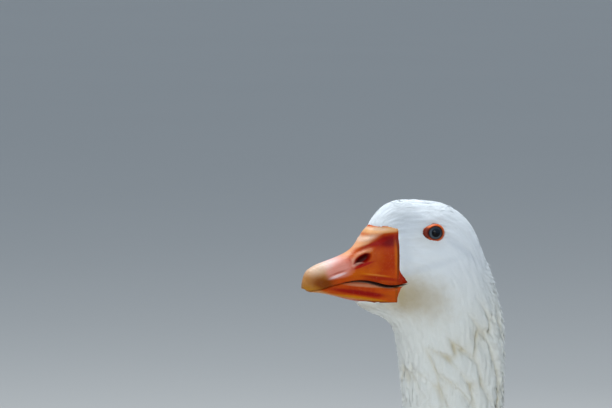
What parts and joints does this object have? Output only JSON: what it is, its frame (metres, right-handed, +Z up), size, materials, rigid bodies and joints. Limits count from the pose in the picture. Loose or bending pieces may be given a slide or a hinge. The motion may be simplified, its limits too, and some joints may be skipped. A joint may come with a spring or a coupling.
{
  "type": "domestic goose",
  "caption": "White domestic goose standing alert on webbed orange feet, upright neck, orange bill with a pale nail, wings folded.",
  "frame": {"origin": "on the floor, under the middle of the bird's box", "axes": "-X the way the goose faces, +Z up, -Y its left side"},
  "size_m": [0.7166, 0.2652, 0.8803],
  "materials": {
    "feather": "soft white feathers, stained cream behind the bill",
    "bill": "orange skin over bone, satin, redder under the ridge",
    "nail": "pale tan horn, smooth",
    "eyelid": "bare orange skin",
    "eye": "wet, blue-grey with a black pupil",
    "foot_skin": "scaly orange skin",
    "claw": "horn, worn at the tips"
  },
  "bodies": {
    "root": {"bill_lower": "bill", "bill_nail": "nail", "bill_upper": "bill", "eye_left": "eye", "eye_right": "eye", "eyelids_left": "eyelid", "eyelids_right": "eyelid", "head": "feather", "leg_left_claw_hind": "claw", "leg_left_claw_inner": "claw", "leg_left_claw_middle": "claw", "leg_left_claw_outer": "claw", "leg_left_shank": "foot_skin", "leg_left_thigh": "feather", "leg_left_toe_hind": "foot_skin", "leg_left_toe_inner": "foot_skin", "leg_left_toe_middle": "foot_skin", "leg_left_toe_outer": "foot_skin", "leg_left_web_inner": "foot_skin", "leg_left_web_outer": "foot_skin", "leg_right_claw_hind": "claw", "leg_right_claw_inner": "claw", "leg_right_claw_middle": "claw", "leg_right_claw_outer": "claw", "leg_right_shank": "foot_skin", "leg_right_thigh": "feather", "leg_right_toe_hind": "foot_skin", "leg_right_toe_inner": "foot_skin", "leg_right_toe_middle": "foot_skin", "leg_right_toe_outer": "foot_skin", "leg_right_web_inner": "foot_skin", "leg_right_web_outer": "foot_skin", "neck_lower": "feather", "neck_middle": "feather", "neck_upper": "feather", "tail": "feather", "trunk": "feather", "wing_left_primaries": "feather", "wing_left_scapulars": "feather", "wing_left_secondaries": "feather", "wing_left_shoulder": "feather", "wing_right_primaries": "feather", "wing_right_scapulars": "feather", "wing_right_secondaries": "feather", "wing_right_shoulder": "feather"}
  },
  "joints": []
}
